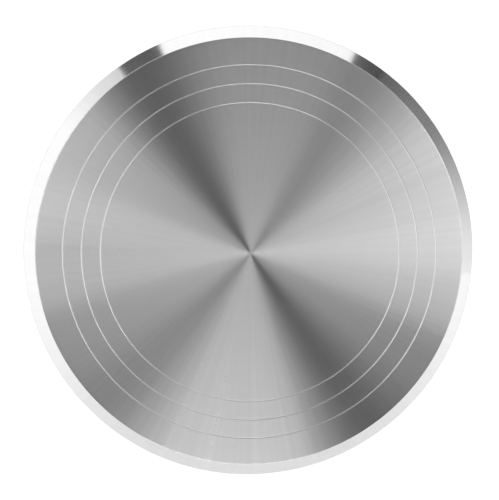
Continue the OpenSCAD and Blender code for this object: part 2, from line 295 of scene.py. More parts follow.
@dataclass(frozen=True)
class MetalFinish(Finish):
    """A metal, painted darker where its tone is low, which is painted shade where that tone follows the
    low spots of its bump.

    Attributes:
        contrast: How much of the colour is lost where the tone is lowest.
    """

    contrast: float

    def metal(self, graph: Graph, tone: Input) -> Inputs:
        """Returns the inputs that make the shader a metal, darker where tone is low."""
        # Where the tone follows the bump's low spots, this darker colour is painted shade.
        dark = tuple(channel * (1 - self.contrast) for channel in self.colour)
        return {"Base Color": graph.tint(tone, dark, self.colour), "Metallic": 1.0}


@dataclass(frozen=True)
class TurnedFinish(MetalFinish):
    """Metal cut on a lathe: fine ring-shaped tool marks, painted a little darker in their low spots as
    shade, and soft radial rays that vary its roughness and are painted into its colour as reflection.

    Attributes:
        anisotropy: How much further the marks spread light across than along themselves.
        reflection_ray_width: The width of a ray of painted reflection, in radians.
        mark_pitch: The feed of the tool.
        mark_share: How much of the tone comes from the tool marks, and not from the rays of painted
            reflection.
    """

    anisotropy: float
    reflection_ray_width: float
    mark_pitch: float
    mark_share: float = 0.25

    def wire(self, graph: Graph) -> Inputs:
        """Wires the rays and the tool marks.

        Args:
            graph: Where they are wired.

        Returns:
            The shader's inputs.
        """
        level = graph.vector("MULTIPLY", graph.point(), (1, 1, 0))["Vector"]
        heading = graph.vector("NORMALIZE", level)["Vector"]
        radius = graph.vector("LENGTH", level)["Value"]
        # The rays are painted reflection: radial streaks in the colour, like those that a turned face
        # mirrors.
        rays = graph.noise(heading, self.reflection_ray_width, detail=4)
        marks = graph.noise(radius, self.mark_pitch, along=True)
        mark_tone = graph.math("MULTIPLY", marks, self.mark_share)
        tone = graph.math("MULTIPLY_ADD", rays, 1 - self.mark_share, mark_tone)
        return {
            **self.metal(graph, tone),
            "Roughness": graph.about(tone, self.roughness, -self.spread),
            "Anisotropic": self.anisotropy,
            "Anisotropic Rotation": SHADER_QUARTER,
            "Tangent": graph.add("Tangent", {}, direction_type="RADIAL", axis="Z")[0],
            "Normal": graph.bump(marks, self.depth),
        }


@dataclass(frozen=True)
class CastFinish(MetalFinish):
    """Blasted casting: a fine grain over slow swells, dull in the low spots and painted darker there as
    shade.

    Attributes:
        grain: The size of the blasted grain.
        swell: The size of the slow swells.
    """

    grain: float
    swell: float

    def wire(self, graph: Graph) -> Inputs:
        """Wires the grain and the swells.

        Args:
            graph: Where they are wired.

        Returns:
            The shader's inputs.
        """
        place = graph.point()
        grain = graph.noise(place, self.grain, detail=3)
        swell = graph.noise(place, self.swell)
        # The grain is also the bump, so the darker colour in its low spots is painted shade.
        tone = graph.math("DIVIDE", graph.math("ADD", grain, swell), 2)
        return {
            **self.metal(graph, tone),
            "Roughness": graph.about(tone, self.roughness, -self.spread),
            "Normal": graph.bump(grain, self.depth),
        }


@dataclass(frozen=True)
class SheetFinish(MetalFinish):
    """Plain worked metal: fine scratches and a faint cloud of handling.

    Attributes:
        scratch: The length of a scratch.
        slimness: How many times longer a scratch is than it is wide.
        cloud: How many scratches long a cloud is.
    """

    scratch: float
    slimness: float = 6.0
    cloud: float = 8.0

    def wire(self, graph: Graph) -> Inputs:
        """Wires the scratches and the clouds.

        Args:
            graph: Where they are wired.

        Returns:
            The shader's inputs.
        """
        place = graph.point()
        squeezed = graph.vector("MULTIPLY", place, (1, 1, self.slimness))["Vector"]
        scratches = graph.noise(squeezed, self.scratch, detail=4)
        return {
            **self.metal(graph, graph.noise(place, self.cloud * self.scratch)),
            "Roughness": graph.about(scratches, self.roughness, self.spread),
            "Normal": graph.bump(scratches, self.depth),
        }


@dataclass(frozen=True)
class RubberFinish(Finish):
    """Moulded rubber: matt, with a fine pebble and a little dust.

    Attributes:
        dust: The colour where dust clings.
        pebble: The size of the moulded pebble.
        cloud: The size of a cloud of dust.
    """

    dust: Colour
    pebble: float
    cloud: float

    def wire(self, graph: Graph) -> Inputs:
        """Wires the pebble and the dust.

        Args:
            graph: Where they are wired.

        Returns:
            The shader's inputs.
        """
        place = graph.point()
        pebble = graph.noise(place, self.pebble, detail=1)
        return {
            "Base Color": graph.tint(graph.noise(place, self.cloud, detail=4), self.colour, self.dust),
            "Roughness": graph.about(pebble, self.roughness, self.spread),
            "Normal": graph.bump(pebble, self.depth),
        }


TURNED_FACE = TurnedFinish(
    name="turned_face", slot=Slot.TURNED_ALUMINIUM, colour=(0.86, 0.86, 0.86), roughness=0.30,
    spread=0.03, contrast=0.10, anisotropy=1.0, reflection_ray_width=0.03, mark_pitch=0.3 * MM, depth=0.0004 * MM,
)
TURNED_BEVEL = TurnedFinish(
    name="turned_bevel", slot=Slot.TURNED_ALUMINIUM, colour=(0.93, 0.93, 0.93), roughness=0.14,
    spread=0.02, contrast=0.04, anisotropy=0.6, reflection_ray_width=0.03, mark_pitch=0.3 * MM, depth=0.0002 * MM,
)
# The scored rings' colour is brighter than the work face's own aluminium: a painted highlight that makes
# the lines show bright.
SCORED_RING = TurnedFinish(
    name="scored_ring", slot=Slot.TURNED_ALUMINIUM, colour=(0.97, 0.97, 0.97), roughness=0.36,
    spread=0.03, contrast=0.04, anisotropy=0.78, reflection_ray_width=0.05, mark_pitch=0.2 * MM, depth=0.001 * MM,
)
TURNED_DISH = TurnedFinish(
    name="turned_dish", slot=Slot.TURNED_ALUMINIUM, colour=(0.76, 0.76, 0.77), roughness=0.42,
    spread=0.04, contrast=0.12, anisotropy=0.7, reflection_ray_width=0.08, mark_pitch=0.6 * MM, depth=0.004 * MM,
)
MACHINED_SEAT = TurnedFinish(
    name="machined_seat", slot=Slot.CAST_ALUMINIUM, colour=(0.78, 0.78, 0.79), roughness=0.32,
    spread=0.03, contrast=0.08, anisotropy=0.7, reflection_ray_width=0.05, mark_pitch=0.3 * MM, depth=0.002 * MM,
)
CAST_BODY = CastFinish(
    name="cast_body", slot=Slot.CAST_ALUMINIUM, colour=(0.66, 0.67, 0.68), roughness=0.50,
    spread=0.06, contrast=0.14, grain=0.7 * MM, swell=9 * MM, depth=0.06 * MM,
)
GROUND_STEEL = SheetFinish(
    name="ground_steel", slot=Slot.BEARING_STEEL, colour=(0.74, 0.74, 0.76), roughness=0.20,
    spread=0.04, contrast=0.06, scratch=1.2 * MM, depth=0.002 * MM,
)
BLACK_OXIDE = SheetFinish(
    name="black_oxide", slot=Slot.BLACK_OXIDE_STEEL, colour=(0.07, 0.07, 0.08), roughness=0.42,
    spread=0.07, contrast=0.30, scratch=0.8 * MM, depth=0.006 * MM,
)
PRESSED_SHEET = SheetFinish(
    name="pressed_sheet", slot=Slot.PRESSED_STEEL, colour=(0.52, 0.52, 0.53), roughness=0.34,
    spread=0.06, contrast=0.12, scratch=1.0 * MM, depth=0.004 * MM,
)
ROLLED_BRASS = SheetFinish(
    name="rolled_brass", slot=Slot.BRASS, colour=(0.78, 0.64, 0.34), roughness=0.28,
    spread=0.05, contrast=0.12, scratch=1.0 * MM, depth=0.004 * MM,
)
BLACK_RUBBER = RubberFinish(
    name="black_rubber", slot=Slot.RUBBER, colour=(0.030, 0.030, 0.031), roughness=0.72,
    spread=0.08, dust=(0.055, 0.054, 0.052), pebble=0.35 * MM, cloud=7 * MM, depth=0.03 * MM,
)


# Modelling


@dataclass(frozen=True)
class Corner:
    """A corner of a half section.

    Attributes:
        r: Its radius from the axis.
        z: Its height.
        edge: The radius that rounds it, or 0 where it is sharp.
    """

    r: float
    z: float
    edge: float = 0.0

    def place(self) -> Vector:
        """Returns the corner as a flat vector."""
        return Vector((self.r, self.z))


def arc(centre: Vector, radius: float, start: float, end: float) -> list[Corner]:
    """Draws an arc as sharp corners in small steps.

    Args:
        centre: The arc's centre, in radius and height.
        radius: The arc's radius.
        start: The angle where it starts, anticlockwise from outward.
        end: The angle where it ends.

    Returns:
        The arc's points, both ends included.
    """
    step_angle = 2 * math.acos(1 - ARC_SAG / radius)
    steps = max(ARC_STEPS_LEAST, math.ceil(abs(end - start) / step_angle))
    angles = [start + (end - start) * step / steps for step in range(steps + 1)]
    return [Corner(centre.x + radius * math.cos(a), centre.y + radius * math.sin(a)) for a in angles]


def rounded(before: Corner, corner: Corner, after: Corner) -> list[Corner]:
    """Rounds one corner of a section by its own edge radius.

    Args:
        before: The corner before it.
        corner: The corner.
        after: The corner after it.

    Returns:
        The points of the round, or the corner itself where it is sharp.
    """
    if corner.edge == 0:
        return [corner]
    along = (before.place() - corner.place()).normalized()
    back = (after.place() - corner.place()).normalized()
    half = along.angle(back) / 2
    centre = corner.place() + (along + back).normalized() * corner.edge / math.sin(half)
    reach = corner.edge / math.tan(half)
    first = corner.place() + along * reach - centre
    last = corner.place() + back * reach - centre
    start = math.atan2(first.y, first.x)
    turn = math.remainder(math.atan2(last.y, last.x) - start, FULL_TURN)
    return arc(centre, corner.edge, start, start + turn)


def outline(corners: Sequence[Corner]) -> list[Corner]:
    """Rounds every corner of a section, and returns all its points."""
    threes = zip([corners[-1], *corners], corners, [*corners[1:], corners[0]])
    return [point for three in threes for point in rounded(*three)]


def turned(angle: float) -> Matrix:
    """Returns a turn about the upright axis by an angle."""
    return Matrix.Rotation(angle, 4, "Z")


def spaced(count: int) -> list[Matrix]:
    """Returns turns that are spaced evenly about the upright axis, from half a step on."""
    return [turned(math.pi / count + FULL_TURN * index / count) for index in range(count)]


def clear() -> None:
    """Leaves edit mode and deselects everything."""
    if bpy.context.mode != "OBJECT":
        bpy.ops.object.mode_set(mode="OBJECT")
    bpy.ops.object.select_all(action="DESELECT")


def named(name: str) -> bpy.types.Object:
    """Names the object that was just added.

    Args:
        name: The name for the object and its data.

    Returns:
        The object.
    """
    thing = bpy.context.object
    thing.name = name
    thing.data.name = name
    return thing


@dataclass
class Workpiece:
    """A piece on the bench, shaped step by step by Blender's own operators.

    Attributes:
        solid: The object that holds the piece's mesh.
    """

    solid: bpy.types.Object

    @classmethod
    def drawn(cls, name: str, corners: Sequence[Corner], closed: bool = True) -> "Workpiece":
        """Draws a half section in the upright plane through +X, point by point.

        Args:
            name: The piece's name.
            corners: The section's corners.
            closed: Whether the last corner joins the first.

        Returns:
            The section, selected in edit mode.
        """
        clear()
        bpy.ops.mesh.primitive_plane_add(size=MM)
        piece = cls(named(name))
        piece.edit()
        bpy.ops.mesh.select_mode(type="VERT")
        bpy.ops.mesh.merge(type="CENTER")
        points = outline(corners)
        bpy.ops.transform.translate(value=(points[0].r, 0, points[0].z))
        for last, point in pairwise([*points, points[0]] if closed else points):
            step = (point.r - last.r, 0, point.z - last.z)
            bpy.ops.mesh.extrude_vertices_move(TRANSFORM_OT_translate={"value": step})
        bpy.ops.mesh.select_all(action="SELECT")
        bpy.ops.mesh.remove_doubles(threshold=MERGE_GAP)
        return piece

    @classmethod
    def spun(cls, name: str, corners: Sequence[Corner], steps: int, closed: bool = True) -> "Workpiece":
        """Turns a half section round the upright axis.

        Args:
            name: The piece's name.
            corners: The section's corners.
            steps: How many faces go round the piece.
            closed: Whether the section is a ring's, and not one that ends on the axis.

        Returns:
            The turned piece.
        """
        piece = cls.drawn(name, corners, closed)
        bpy.ops.mesh.spin(steps=steps, angle=FULL_TURN, center=(0, 0, 0), axis=(0, 0, 1))
        piece.seal()
        return piece

    @classmethod
    def plate(cls, name: str, corners: Sequence[Corner], thickness: float) -> "Workpiece":
        """Cuts a plate to a half section, upright along +X and centred on it.

        Args:
            name: The plate's name.
            corners: The section's corners.
            thickness: The plate's thickness.

        Returns:
            The plate.
        """
        piece = cls.drawn(name, corners)
        bpy.ops.mesh.edge_face_add()
        bpy.ops.transform.translate(value=(0, -thickness / 2, 0))
        bpy.ops.mesh.extrude_region_move(TRANSFORM_OT_translate={"value": (0, thickness, 0)})
        piece.seal()
        return piece

    @classmethod
    def pin(cls, radius: float, low: float, high: float, sides: int = HOLE_SIDES) -> "Workpiece":
        """Adds an upright pin on the axis, to cut a hole with.

        Args:
            radius: The pin's radius, to its corners.
            low: The height of its lower end.
            high: The height of its upper end.
            sides: How many sides it has.

        Returns:
            The pin, with its place in its mesh.
        """
        clear()
        bpy.ops.mesh.primitive_cylinder_add(vertices=sides, radius=radius, depth=high - low)
        piece = cls(named("cutting_pin"))
        piece.solid.data.transform(Matrix.Translation((0, 0, (low + high) / 2)))
        return piece

    @classmethod
    def key(cls, width: float, low: float, high: float) -> "Workpiece":
        """Returns a hexagonal key of a width across its flats, to cut a socket with."""
        return cls.pin(width / 2 / math.cos(math.pi / HEXAGON), low, high, HEXAGON)

    def take(self) -> None:
        """Selects the piece alone and makes it active."""
        clear()
        self.solid.select_set(True)
        bpy.context.view_layer.objects.active = self.solid

    def edit(self) -> None:
        """Opens the piece in edit mode with all of it selected."""
        self.take()
        bpy.ops.object.mode_set(mode="EDIT")
        bpy.ops.mesh.select_all(action="SELECT")

    def seal(self) -> None:
        """Merges the seams of the piece in edit mode, turns its faces outward and leaves edit mode."""
        bpy.ops.mesh.select_all(action="SELECT")
        bpy.ops.mesh.remove_doubles(threshold=MERGE_GAP)
        bpy.ops.mesh.normals_make_consistent(inside=False)
        bpy.ops.object.mode_set(mode="OBJECT")

    def pick_faces(self, wanted: FaceTest) -> None:
        """Opens the piece in edit mode with some faces selected.

        Args:
            wanted: Says from a face's centre and normal whether it is selected.
        """
        self.edit()
        bpy.ops.mesh.select_mode(type="FACE")
        bpy.ops.mesh.select_all(action="DESELECT")
        bpy.ops.object.mode_set(mode="OBJECT")
        for face in self.solid.data.polygons:
            face.select = wanted(face.center, face.normal)
        bpy.ops.object.mode_set(mode="EDIT")

    def copied(self, name: str, change: Matrix) -> "Workpiece":
        """Copies the piece with a mesh of its own.

        Args:
            name: The copy's name.
            change: How the copy's mesh is moved.

        Returns:
            The copy.
        """
        mesh = self.solid.data.copy()
        mesh.name = name
        mesh.transform(change)
        copy = bpy.data.objects.new(name, mesh)
        bpy.context.scene.collection.objects.link(copy)
        return Workpiece(copy)

    def around(self, places: Sequence[Matrix]) -> "Workpiece":
        """Repeats the piece at some places, joins the copies and uses the piece up.

        Args:
            places: How each copy's mesh is moved.

        Returns:
            The joined copies.
        """
        copies = [self.copied(f"{self.solid.name}_copy", place).solid for place in places]
        bpy.data.objects.remove(self.solid)
        joined = Workpiece(copies[0])
        joined.take()
        for copy in copies:
            copy.select_set(True)
        bpy.ops.object.join()
        return joined

    def combine(self, tool: "Workpiece", how: Combine) -> None:
        """Adds a tool solid to the piece, or cuts it out, and removes the tool.

        Args:
            tool: The tool solid.
            how: Whether it is added or cut.
        """
        modifier = self.solid.modifiers.new(how.name.lower(), "BOOLEAN")
        modifier.operation = how.value
        modifier.solver = "EXACT"
        modifier.object = tool.solid
        self.take()
        bpy.ops.object.modifier_apply(modifier=modifier.name)
        bpy.data.objects.remove(tool.solid)

    def polish(self) -> None:
        """Smooths the piece's shading, with its flat faces kept flat."""
        self.take()
        bpy.ops.object.shade_smooth_by_angle(angle=SMOOTH_BELOW)
        modifier = self.solid.modifiers.new("flat_faces", "WEIGHTED_NORMAL")
        modifier.keep_sharp = True
        bpy.ops.object.modifier_apply(modifier=modifier.name)
        self.solid.select_set(False)

    def fix(self, node: str, body: Body, finish: Finish, *patches: tuple[Finish, FaceTest]) -> None:
        """Dresses the finished piece, and fixes it to its body in place of a CAD node.

        Args:
            node: The node that it stands for.
            body: The body that it rides on.
            finish: Its finish.
            patches: Other finishes, each with a test of the centre and normal of the faces that take it.
        """
        mesh = self.solid.data
        mesh.materials.clear()
        mesh.materials.append(finish.material())
        for index, (patch, wanted) in enumerate(patches, start=1):
            mesh.materials.append(patch.material())
            for face in mesh.polygons:
                if wanted(face.center, face.normal):
                    face.material_index = index
        self.polish()
        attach(self.solid, body.value)
        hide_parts(node)
        log.info("%s: %d faces, on %s", self.solid.name, len(mesh.polygons), body.value)

    def fasten(self, node: str, places: Sequence[Matrix]) -> None:
        """Copies the piece, a screw, to its places on the wheel and uses it up.

        Args:
            node: The node that the screws stand for.
            places: How each copy's mesh is moved.
        """
        for number, place in enumerate(places, start=1):
            self.copied(f"{self.solid.name}_{number}", place).fix(node, Body.WHEEL, BLACK_OXIDE)
        bpy.data.objects.remove(self.solid)


def keep(node: str, finish: Finish) -> None:
    """Keeps a CAD node's own shape and gives it a finish.

    Args:
        node: The node's name.
        finish: Its finish.
    """
    for material_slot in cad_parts[node].material_slots:
        material_slot.material = finish.material()
    log.info("%s: kept as built, in %s", node, finish.name)


# The wheel head and its hub


@dataclass
class HeadScrews:
    """The socket cap screws that hold the hub to the wheel head.

    Attributes:
        count: How many screws.
        circle_r: The radius of the circle that they stand on.
        thread_r: The radius of their thread.
        shank_r: The radius of the shank as modelled, just clear of its hole.
        head_r: The radius of a head.
        head_h: The height of a head.
        length: The length below the head.
        key: The width across the flats of the socket.
        key_depth: The depth of the socket.
        chamfer: The chamfer on the head and the tip.
        knurls: How many knurls go round the head.
        knurl_depth: The depth of a knurl.
        tapped: The depth of the tapped holes.
    """

    count: int = 4
    circle_r: float = 44.5 * MM
    thread_r: float = 3 * MM
    shank_r: float = 2.95 * MM
    head_r: float = 5 * MM
    head_h: float = 6 * MM
    length: float = 14.5 * MM
    key: float = 5 * MM
    key_depth: float = 3 * MM
    chamfer: float = 0.5 * MM
    knurls: int = 40
    knurl_depth: float = 0.12 * MM
    tapped: float = 7 * MM

    def places(self) -> list[Matrix]:
        """Returns the places of the screws on their circle."""
        return [turn @ Matrix.Translation((self.circle_r, 0, 0)) for turn in spaced(self.count)]

    def holes(self, radius: float, z: float, depth: float) -> Workpiece:
        """Returns the pins that cut the screws' holes, of a radius and from z up to a depth."""
        return Workpiece.pin(radius, z - MM, z + depth).around(self.places())

    def model(self, z_seat: float) -> Workpiece:
        """Models one screw on the axis, with its head below its seat.

        Args:
            z_seat: The height of the face that the head bears on.

        Returns:
            The screw.
        """
        z_low = z_seat - self.head_h
        z_tip = z_seat + self.length
        screw = Workpiece.spun("cap_screw", [
            Corner(0, z_low),
            Corner(self.head_r - self.chamfer, z_low),
            Corner(self.head_r, z_low + self.chamfer),
            Corner(self.head_r, z_seat - self.chamfer),
            Corner(self.head_r - self.knurl_depth, z_seat),
            Corner(self.shank_r, z_seat),
            Corner(self.shank_r, z_tip - self.chamfer),
            Corner(self.shank_r - self.chamfer, z_tip),
            Corner(0, z_tip),
        ], 2 * self.knurls, closed=False)
        self.knurl(screw)
        screw.combine(Workpiece.key(self.key, z_low - MM, z_low + self.key_depth), Combine.CUT)
        return screw

    def knurl(self, screw: Workpiece) -> None:
        """Presses the knurls into every second face round the side of a screw's head.

        Args:
            screw: The screw.
        """
        pitch = math.pi / self.knurls

        def dent(centre: Vector, normal: Vector) -> bool:
            """Says whether a knurl is pressed into a face."""
            side = abs(normal.z) < NEARLY_UPRIGHT and centre.xy.length > self.shank_r + self.chamfer
            return side and math.floor(math.atan2(centre.y, centre.x) / pitch) % 2 == 0

        screw.pick_faces(dent)
        bpy.ops.mesh.inset(thickness=self.knurl_depth, depth=-self.knurl_depth, use_individual=True)
        bpy.ops.object.mode_set(mode="OBJECT")

    def build(self) -> None:
        """Models one screw and copies it to its places."""
        z_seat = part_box("head_screws")[0].z + self.head_h
        self.model(z_seat).fasten("head_screws", self.places())


@dataclass
class WheelHead:
    """The dished wheel head, with its guide rings, bevelled rim and ribs.

    Attributes:
        screws: The screws that go into its boss.
        bevel: The width and the drop of the bevel.
        edge: The radius of the turned edges of the rim.
        wall: The wall of the rim.
        plate: The thickness of the plate.
        boss_r: The radius of the boss.
        boss_h: The height of the boss.
        pocket_r: The radius of the pocket for the spindle's spigot.
        pocket_h: The depth of that pocket.
        root: The moulded radius between the plate and what stands on it.
        rings: The diameters of the guide rings.
        groove_w: The width of a guide ring.
        groove_depth: The depth of a guide ring.
        ribs: The number of ribs.
        rib_t: The thickness of a rib.
        rib_setback: How far the ribs stop short of the rim's lower edge.
        rib_root: How far a rib is let into the walls that it joins.
        steps: How many faces go round the wheel head.
        hair: How far a face may lie off a height and still count as at it.
        face_up: The least height of the normals on the work face.
        bevel_up: The least and the greatest height of the normals on the bevel.
        groove_up: The least height of the normals in a guide ring.
    """

    screws: HeadScrews
    bevel: float = 9 * MM
    edge: float = 1.5 * MM
    wall: float = 5 * MM
    plate: float = 5 * MM
    boss_r: float = 55 * MM
    boss_h: float = 4 * MM
    pocket_r: float = 10.02 * MM
    pocket_h: float = 4 * MM
    root: float = 1.5 * MM
    rings: tuple[float, ...] = (200 * MM, 225 * MM, 250 * MM)
    groove_w: float = 1 * MM
    groove_depth: float = 0.35 * MM
    ribs: int = 8
    rib_t: float = 4 * MM
    rib_setback: float = 2 * MM
    rib_root: float = 1.6 * MM
    steps: int = 256
    hair: float = 0.015 * MM
    face_up: float = 0.2
    bevel_up: tuple[float, float] = (0.6, 0.95)
    groove_up: float = 0.64

    def __post_init__(self) -> None:
        """Takes the outer radius and the heights from the frame."""
        low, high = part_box("wheel_head")
        self.radius = high.x
        self.z_face = high.z
        self.z_rim = low.z
        self.z_plate = self.z_face - self.plate
        self.z_boss = self.z_plate - self.boss_h
        self.face_r = self.radius - self.bevel

    def slope_r(self, z: float) -> float:
        """Returns the radius of the rim's inner slope at height z."""
        return self.face_r + self.z_face - z - self.wall * math.sqrt(2)

    def groove(self, diameter: float) -> list[Corner]:
        """Draws one guide ring's groove, cut by a round-nosed tool.

        Args:
            diameter: The ring's diameter.

        Returns:
            The groove's points, from its inner edge to its outer one.
        """
        half = self.groove_w / 2
        nose = (half**2 + self.groove_depth**2) / (2 * self.groove_depth)
        reach = math.asin(half / nose)
        centre = Vector((diameter / 2, self.z_face + nose - self.groove_depth))
        return arc(centre, nose, -RIGHT_ANGLE - reach, -RIGHT_ANGLE + reach)

    def section(self) -> list[Corner]:
        """Draws the half section, from the middle of the work face to the bottom of the pocket."""
        inner = self.radius - self.wall
        z_inner = self.face_r + self.z_face - self.wall * math.sqrt(2) - inner
        z_pocket = self.z_boss + self.pocket_h
        broken = self.edge / FINER
        return [
            Corner(0, self.z_face),
            *(point for ring in self.rings for point in self.groove(ring)),
            Corner(self.face_r, self.z_face, self.edge),
            Corner(self.radius, self.z_face - self.bevel, self.edge),
            Corner(self.radius, self.z_rim, broken),
            Corner(inner, self.z_rim, broken),
            Corner(inner, z_inner),
            Corner(self.slope_r(self.z_plate), self.z_plate, self.root),
            Corner(self.boss_r, self.z_plate, self.root),
            Corner(self.boss_r, self.z_boss, broken),
            Corner(self.pocket_r, self.z_boss),
            Corner(self.pocket_r, z_pocket),
            Corner(0, z_pocket),
        ]

    def rib(self) -> Workpiece:
        """Returns one rib, let into the boss, the plate and the rim."""
        z_low = self.z_rim + self.rib_setback
        z_high = self.z_plate + self.rib_root
        inner = self.boss_r - self.rib_root
        return Workpiece.plate("head_rib", [
            Corner(inner, z_high),
            Corner(self.slope_r(z_high) + self.rib_root, z_high),
            Corner(self.slope_r(z_low) + self.rib_root, z_low),
            Corner(inner, z_low),
        ], self.rib_t)

    def on_face(self, centre: Vector, normal: Vector) -> bool:
        """Says whether a face is on the work face or in its rings."""
        return centre.z > self.z_face - self.groove_depth - self.hair and normal.z > self.face_up

    def on_bevel(self, centre: Vector, normal: Vector) -> bool:
        """Says whether a face is on the bevel."""
        least, greatest = self.bevel_up
        return centre.xy.length > self.face_r - self.edge and least < normal.z < greatest

    def in_ring(self, centre: Vector, normal: Vector) -> bool:
        """Says whether a face is in a guide ring."""
        sunk = centre.z < self.z_face - self.hair and centre.xy.length < self.face_r - self.edge
        return sunk and self.on_face(centre, normal) and normal.z > self.groove_up

    def build(self) -> None:
        """Models the wheel head and dresses it."""
        head = Workpiece.spun("turned_head", self.section(), self.steps, closed=False)
        head.combine(self.rib().around(spaced(self.ribs)), Combine.ADD)
        holes = self.screws.holes(self.screws.thread_r, self.z_boss, self.screws.tapped)
        head.combine(holes, Combine.CUT)
        patches = ((TURNED_FACE, self.on_face), (TURNED_BEVEL, self.on_bevel), (SCORED_RING, self.in_ring))
        head.fix("wheel_head", Body.WHEEL, TURNED_DISH, *patches)


@dataclass
class Hub:
    """The hub that clamps the wheel head to the spindle, with its set screws.

    Attributes:
        screws: The screws that pass through its flange.
        bore_r: The radius of the spindle's bore.
        flange_r: The radius of the bolting flange.
        flange_t: The thickness of the flange.
        collar_r: The radius of the hub's neck.
        skirt_r: The inner radius of the skirt round the pedestal's lip.
        z_seat: The height of the hub's seat on the spindle.
        fillet: The fillet between the neck and the flange.
        edge: The radius of the turned edges.
        through: The radius of the holes for the head screws.
        set_r: The radius of a set screw's thread.
        set_shank_r: The radius of a set screw as modelled, just clear of its hole.
        set_l: The length of a set screw.
        set_rise: The height of the set screws above the seat.
        set_key: The width across the flats of a set screw's socket.
        set_key_depth: The depth of that socket.
        set_angles: The angles of the set screws.
        set_steps: How many faces go round a set screw.
        steps: How many faces go round the hub.
    """

    screws: HeadScrews
    bore_r: float = 10.02 * MM
    flange_r: float = 52 * MM
    flange_t: float = 8 * MM
    collar_r: float = 35 * MM
    skirt_r: float = 28 * MM
    z_seat: float = 108 * MM
    fillet: float = 3.5 * MM
    edge: float = 1 * MM
    through: float = 3.3 * MM
    set_r: float = 3 * MM
    set_shank_r: float = 2.95 * MM
    set_l: float = 12 * MM
    set_rise: float = 5 * MM
    set_key: float = 3 * MM
    set_key_depth: float = 4 * MM
    set_angles: tuple[float, ...] = (0.0, RIGHT_ANGLE)
    set_steps: int = 48
    steps: int = 160

    def __post_init__(self) -> None:
        """Takes the hub's heights from the frame."""
        low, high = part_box("hub")
        self.z_skirt = low.z
        self.z_top = high.z
        self.z_flange = high.z - self.flange_t
        self.broken = self.edge / FINER

    def section(self) -> list[Corner]:
        """Draws the half section of the hub."""
        return [
            Corner(self.bore_r, self.z_top, self.broken),
            Corner(self.flange_r, self.z_top, self.broken),
            Corner(self.flange_r, self.z_flange, self.edge),
            Corner(self.collar_r, self.z_flange, self.fillet),
            Corner(self.collar_r, self.z_skirt, self.edge),
            Corner(self.skirt_r, self.z_skirt, self.broken),
            Corner(self.skirt_r, self.z_seat),
            Corner(self.bore_r, self.z_seat),
        ]

    def places(self, inner: float) -> list[Matrix]:
        """Lays upright pieces on their sides, where the set screws point outward.

        Args:
            inner: The radius where their lower ends go.

        Returns:
            The place of each.
        """
        lay = Matrix.Rotation(RIGHT_ANGLE, 4, "Y")
        out = Matrix.Translation((inner, 0, self.z_seat + self.set_rise))
        return [turned(angle) @ out @ lay for angle in self.set_angles]

    def set_screw(self) -> Workpiece:
        """Models one set screw on the axis, with its point at height 0."""
        point = self.set_shank_r / 2
        screw = Workpiece.spun("set_screw", [
            Corner(0, 0),
            Corner(point, 0),
            Corner(self.set_shank_r, point),
            Corner(self.set_shank_r, self.set_l - self.broken),
            Corner(self.set_shank_r - self.broken, self.set_l),
            Corner(0, self.set_l),
        ], self.set_steps, closed=False)
        socket = Workpiece.key(self.set_key, self.set_l - self.set_key_depth, self.set_l + MM)
        screw.combine(socket, Combine.CUT)
        return screw

    def machined(self, centre: Vector, normal: Vector) -> bool:
        """Says whether a face is machined: the level faces, the bore and the skirt's inside."""
        return abs(normal.z) > NEARLY_LEVEL or centre.xy.length < self.skirt_r + MM

    def build(self) -> None:
        """Models the hub and its set screws and dresses them."""
        hub = Workpiece.spun("turned_hub", self.section(), self.steps)
        hub.combine(self.screws.holes(self.through, self.z_flange, self.flange_t + MM), Combine.CUT)
        holes = Workpiece.pin(self.set_r, 0, self.collar_r).around(self.places(self.bore_r / 2))
        hub.combine(holes, Combine.CUT)
        hub.fix("hub", Body.WHEEL, CAST_BODY, (MACHINED_SEAT, self.machined))
        self.set_screw().fasten("set_screws", self.places(self.bore_r))


# The spindle and its bearings


